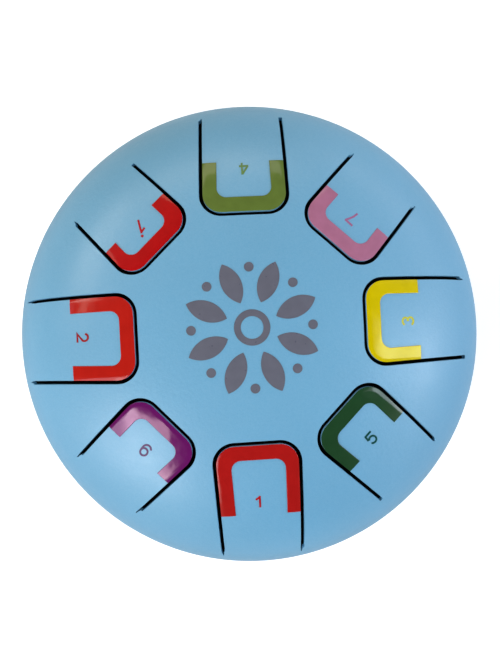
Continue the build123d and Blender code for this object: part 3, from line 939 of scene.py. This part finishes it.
def build_digit(n):
    """A printed digit whose top is towards the drum's axis."""
    u, v, height, widen = DIGITS[n]
    tilt = math.radians(-HIGH_NOTE_TILT if n == HIGH_NOTE else 0.0)

    def place(loop):
        glyph = np.asarray(loop, float)
        x = glyph[:, 0] * math.cos(tilt) - glyph[:, 1] * math.sin(tilt)
        y = glyph[:, 0] * math.sin(tilt) + glyph[:, 1] * math.cos(tilt)
        return rotate(TONGUES[n].heading, np.column_stack([u - y * height, v + x * height]))

    shapes = [stroke([(x * widen, y) for x, y in path], DIGIT_STROKE / height)
              for path in GLYPHS[n]]
    if n == HIGH_NOTE:
        shapes.append([HIGH_NOTE_DOT])
    shapes = [[place(loop) for loop in shape] for shape in shapes]
    ink = vinyl_material(f"digit_ink_{n}", DIGIT_RGB[n], rough=0.25, wave=0.1, spec=0.15)
    union_plate(CROWN, shapes, DECAL_TOP, FILM_BOTTOM).build(
        f"digit_{n}", [ink], MARK_SLOT[n], f"note_{n}")


for note in TONGUES:
    build_digit(note)


# ------------------------------------------------------------------ centre decal
def arc_through(start, middle, end, steps=24):
    """Arc through three points, without the end."""
    (ax, ay), (bx, by), (cx, cy) = start, middle, end
    a2, b2, c2 = ax * ax + ay * ay, bx * bx + by * by, cx * cx + cy * cy
    divisor = 2 * (ax * (by - cy) + bx * (cy - ay) + cx * (ay - by))
    x = (a2 * (by - cy) + b2 * (cy - ay) + c2 * (ay - by)) / divisor
    y = (a2 * (cx - bx) + b2 * (ax - cx) + c2 * (bx - ax)) / divisor
    radius, first = math.hypot(ax - x, ay - y), math.atan2(ay - y, ax - x)
    sweep = shorter_turn(first, math.atan2(cy - y, cx - x))
    return [(x + radius * math.cos(first + sweep * i / steps),
             y + radius * math.sin(first + sweep * i / steps)) for i in range(steps)]


def petal(degrees):
    widest = PETAL_IN + PETAL_WIDEST * (PETAL_OUT - PETAL_IN)
    one = arc_through((PETAL_IN, 0), (widest, -PETAL_HALF_W), (PETAL_OUT, 0))
    two = arc_through((PETAL_OUT, 0), (widest, PETAL_HALF_W), (PETAL_IN, 0))
    return rotate(degrees, one + two)


def build_emblem():
    """A ring, with eight petals round it and a dot between each two."""
    loops = [circle(0, 0, EMBLEM_RING_R, 72), circle(0, 0, EMBLEM_RING_HOLE_R, 56)[::-1]]
    for k in range(8):
        loops.append(petal(22.5 + 45 * k))
        loops.append(circle(*polar(EMBLEM_DOT_RING_R, 45 + 45 * k), EMBLEM_DOT_R, 36))
    radii = [np.full(len(loop), EMBLEM_EDGE_R) for loop in loops]
    plate(CROWN, loops, radii, step=1.0, top=DECAL_TOP, bottom=FILM_BOTTOM, bottom_r=0.0,
          rings=3).build("emblem", [DECAL], "decal_grey", "drum_shell")


build_emblem()


# ------------------------------------------------------------------ rim weld and feet
def weld_waves(angle, r):
    """Unevenness of the dressed bead, on its outside only."""
    if r < RIM_R - 0.05:
        return np.zeros_like(angle)
    return (0.012 * np.sin(angle * 61) + 0.010 * np.sin(angle * 143 + 1.3)
            + 0.012 * np.sin(angle * 17 + 0.4)) - 0.02


def build_rim_weld():
    # (radius, distance above or below the rim plane, rounding), from the inside out
    half = [(RIM_R - SHEET, WELD_ROOT, 0), (RIM_R - 0.10, WELD_FACE * 0.93, 0),
            (RIM_R + 0.02, WELD_FACE * 0.75, 0.10),
            (RIM_R + WELD_CROWN * 0.8, WELD_FACE * 0.2, 0.12)]
    profile = ([(r, RIM_Z - dz, rounding) for r, dz, rounding in half]
               + [(r, RIM_Z + dz, rounding) for r, dz, rounding in reversed(half)])
    lathe(profile, 720, wobble=weld_waves).build("rim_weld", [PAINT], "shell_paint", "drum_shell")


def build_foot(k):
    """A grooved rubber foot whose barbed stem holds it in the bowl's hole."""
    groove_r, under, top = FOOT_R - FOOT_GROOVE, BASE_Z - 0.02, BASE_Z + SHEET
    profile = [     # (radius, height, rounding), from the sole's centre round to the barb's top
        (0.0, 0.55, 0), (2.1, 0.55, 0.3), (2.6, 0.0, 0.3), (5.4, 0.0, 0.9),
        (FOOT_R, 1.3, 0.6), (FOOT_R, 3.6, 0.12), (groove_r, 3.8, 0.12), (groove_r, 4.5, 0.12),
        (FOOT_R, 4.7, 0.12), (FOOT_R, under, 0.45),
        (FOOT_STEM_R, under, 0.05), (FOOT_STEM_R, top + 0.02, 0.05),
        (FOOT_BARB_R, top + 0.02, 0.15), (FOOT_BARB_R, top + 0.8, 0.3),
        (1.5, top + 3.15, 0.5), (0.0, top + 3.15, 0)]
    lathe(profile, 72, centre=foot_centre(k)).build(
        f"foot_{k + 1}", [RUBBER], "foot_rubber", "drum_shell")


build_rim_weld()
for foot in range(4):
    build_foot(foot)


# ------------------------------------------------------------------ floor
def floor_material():
    """White for the camera, darker for other rays, and see-through from below."""
    material, nodes, shader, output = new_material("floor_white")
    camera_ray = nodes.new("LightPath").outputs["Is Camera Ray"]
    nodes.feed(shader, {
        "Roughness": 0.9, "Specular IOR Level": 0.1, "Emission Color": (1, 1, 1, 1),
        "Emission Strength": nodes.ramp(camera_ray, low=0.17, high=0.45, span=(0, 1)),
        "Base Color": nodes.mix(camera_ray, grey(0.42), grey(0.90))})
    backfacing = nodes.new("NewGeometry").outputs["Backfacing"]
    clear = nodes.new("BsdfTransparent")
    surface = nodes.new("MixShader", {0: backfacing, 1: shader.outputs[0], 2: clear.outputs[0]})
    nodes.feed(output, {"Surface": surface.outputs[0]})
    return material


def build_floor(half=3):
    """A square, with its half side in metres."""
    material = floor_material()
    mesh = bpy.data.meshes.new("floor")
    mesh.from_pydata([(-half, -half, 0), (half, -half, 0), (half, half, 0), (-half, half, 0)],
                     [], [(0, 1, 2, 3)])
    mesh.materials.append(material)
    obj = bpy.data.objects.new("floor", mesh)
    bpy.context.scene.collection.objects.link(obj)


build_floor()

# ------------------------------------------------------------------ world and lights
# Azimuths are from +X, anticlockwise, and elevations from the floor, in degrees.
# soft glows of the room round the drum: (azimuth, elevation, strength, colour)
GLOWS = [
    (30, 37, 0.47, (0.99, 0.92, 0.99)), (90, 37, 0.20, (1.33, 1.10, 0.82)),
    (120, 37, 0.25, (1.45, 1.18, 0.83)), (150, 37, 0.35, (1.36, 1.19, 1.12)),
    (240, 21, 0.17, (1.00, 1.04, 0.92)), (330, 21, 1.23, (1.03, 0.99, 0.88)),
    (0, 6, 2.17, (0.86, 0.99, 1.15)), (30, 6, 1.82, (0.88, 0.98, 1.13)),
    (60, 6, 0.54, (1.15, 1.03, 0.93)), (210, 6, 2.25, (0.95, 1.00, 1.11)),
    (240, 6, 1.19, (1.03, 1.12, 0.90)), (330, 6, 0.65, (1.06, 1.02, 0.92)),
]
GLOW_WIDTH = 0.20                  # radians from a glow's middle to its falling off
AMBIENT = (0.02, 0.02, 0.02)
BACKDROP = grey(0.9)

# softboxes: (azimuth, elevation, width deg, height deg, spin deg, radiance, colour)
PANELS = [
    (217, 34, 22, 30, 0, 4.71, (0.92, 0.96, 1.07)), (225, 41, 16, 30, 28, 6.88, (0.98, 0.98, 0.97)),
    (238, 31, 14, 14, 0, 3.43, (0.98, 1.02, 0.97)), (244, 22, 16, 12, 0, 0.10, (1.0, 1.02, 0.98)),
    (350, 36, 18, 32, 0, 5.90, (0.80, 0.92, 1.07)), (352, 50, 16, 12, 0, 1.74, (0.93, 0.95, 1.03)),
    (352, 24, 20, 14, 0, 2.96, (0.92, 0.98, 1.05)), (350, 28, 24, 16, 0, 0.82, (0.92, 0.97, 1.03)),
    (144, 27, 28, 9, 0, 7.4, (1.13, 1.06, 0.96)), (172, 22, 16, 9, 0, 1.35, (1.01, 0.95, 1.06)),
    (102, 31, 32, 10, 0, 3.9, (1.24, 1.11, 0.82)), (80, 33, 20, 8, 0, 3.6, (1.11, 1.04, 0.93)),
    (160, 34, 20, 7, 0, 3.2, (1.30, 1.08, 0.88)), (20, 20, 30, 14, 0, 0.54, (0.84, 0.94, 1.11)),
    (50, 14, 30, 14, 0, 1.62, (1.05, 0.98, 1.00)),
]
PANEL_TARGET = Vector((0, 0, 0.065))         # metres
PANEL_DISTANCE = 1.0


def direction_to(azimuth, elevation):
    a, e = math.radians(azimuth), math.radians(elevation)
    return math.cos(e) * math.cos(a), math.cos(e) * math.sin(a), math.sin(e)


def build_world():
    """The sum of the glows lights the drum; the camera sees a plain pale backdrop."""
    world = bpy.data.worlds.new("studio")
    bpy.context.scene.world = world
    world.use_nodes = True
    nodes = Nodes(world.node_tree)
    view = nodes.new("TexCoord").outputs["Generated"]
    total = AMBIENT
    for azimuth, elevation, strength, tint in GLOWS:
        dot = nodes.new("VectorMath", {0: view, 1: direction_to(azimuth, elevation)},
                        operation="DOT_PRODUCT")
        falloff = nodes.new("Math", {0: dot.outputs["Value"], 1: 1 / GLOW_WIDTH ** 2,
                                     2: -1 / GLOW_WIDTH ** 2}, operation="MULTIPLY_ADD")
        glow = nodes.new("Math", {0: falloff.outputs[0]}, operation="EXPONENT")
        colour = tuple(strength * c for c in tint)
        total = nodes.new("VectorMath", {0: glow.outputs[0], 1: colour, 2: total},
                          operation="MULTIPLY_ADD").outputs[0]
    camera_ray = nodes.new("LightPath").outputs["Is Camera Ray"]
    nodes.feed(world.node_tree.nodes["Background"],
               {0: nodes.mix(camera_ray, total, BACKDROP), 1: 1.0})


def softbox(name, azimuth, elevation, width, height, spin, radiance, colour):
    """Rectangular area light aimed at the drum; its size is the angle seen from the drum."""
    direction = Vector(direction_to(azimuth, elevation))
    light = bpy.data.lights.new(name, "AREA")
    light.shape = "RECTANGLE"
    light.size = 2 * math.tan(math.radians(width / 2)) * PANEL_DISTANCE
    light.size_y = 2 * math.tan(math.radians(height / 2)) * PANEL_DISTANCE
    light.energy = math.pi * light.size * light.size_y * radiance
    light.color = colour
    obj = bpy.data.objects.new(name, light)
    bpy.context.scene.collection.objects.link(obj)
    facing = direction.to_track_quat("Z", "Y").to_matrix().to_4x4()
    obj.matrix_world = (Matrix.Translation(PANEL_TARGET + direction * PANEL_DISTANCE) @ facing
                        @ Matrix.Rotation(math.radians(spin), 4, "Z"))


build_world()
for index, panel in enumerate(PANELS):
    softbox(f"panel_{index + 1}", *panel)

# ------------------------------------------------------------------ camera
LENS, SENSOR_WIDTH = 71.872466, 36.0         # mm; the sensor width spans the long side
CAMERA_DISTANCE = 450.0                      # mm, from the aim
CAMERA_AIM = Vector((0.08985, -0.48189, RIM_Z))
CAMERA_LEAN = (-0.0216, -0.04099)            # x and y of the way back to the camera, per unit of z
CAMERA_ROLL = -0.05444                       # radians


def build_camera():
    """Looks almost straight down on the crown."""
    data = bpy.data.cameras.new("camera")
    data.sensor_width = SENSOR_WIDTH
    data.lens = LENS
    data.clip_start, data.clip_end = 0.01, 20
    camera = bpy.data.objects.new("camera", data)
    bpy.context.scene.collection.objects.link(camera)
    back = Vector((*CAMERA_LEAN, 1.0)).normalized()
    eye = (back * CAMERA_DISTANCE + CAMERA_AIM) * MM
    rolled_up = Vector((-math.sin(CAMERA_ROLL), math.cos(CAMERA_ROLL), 0))
    right = rolled_up.cross(back).normalized()
    up = back.cross(right)
    camera.matrix_world = Matrix((*zip(right, up, back, eye), (0, 0, 0, 1)))
    bpy.context.scene.camera = camera


build_camera()
bpy.context.scene.view_settings.view_transform = "Standard"
bpy.context.scene.view_settings.look = "None"
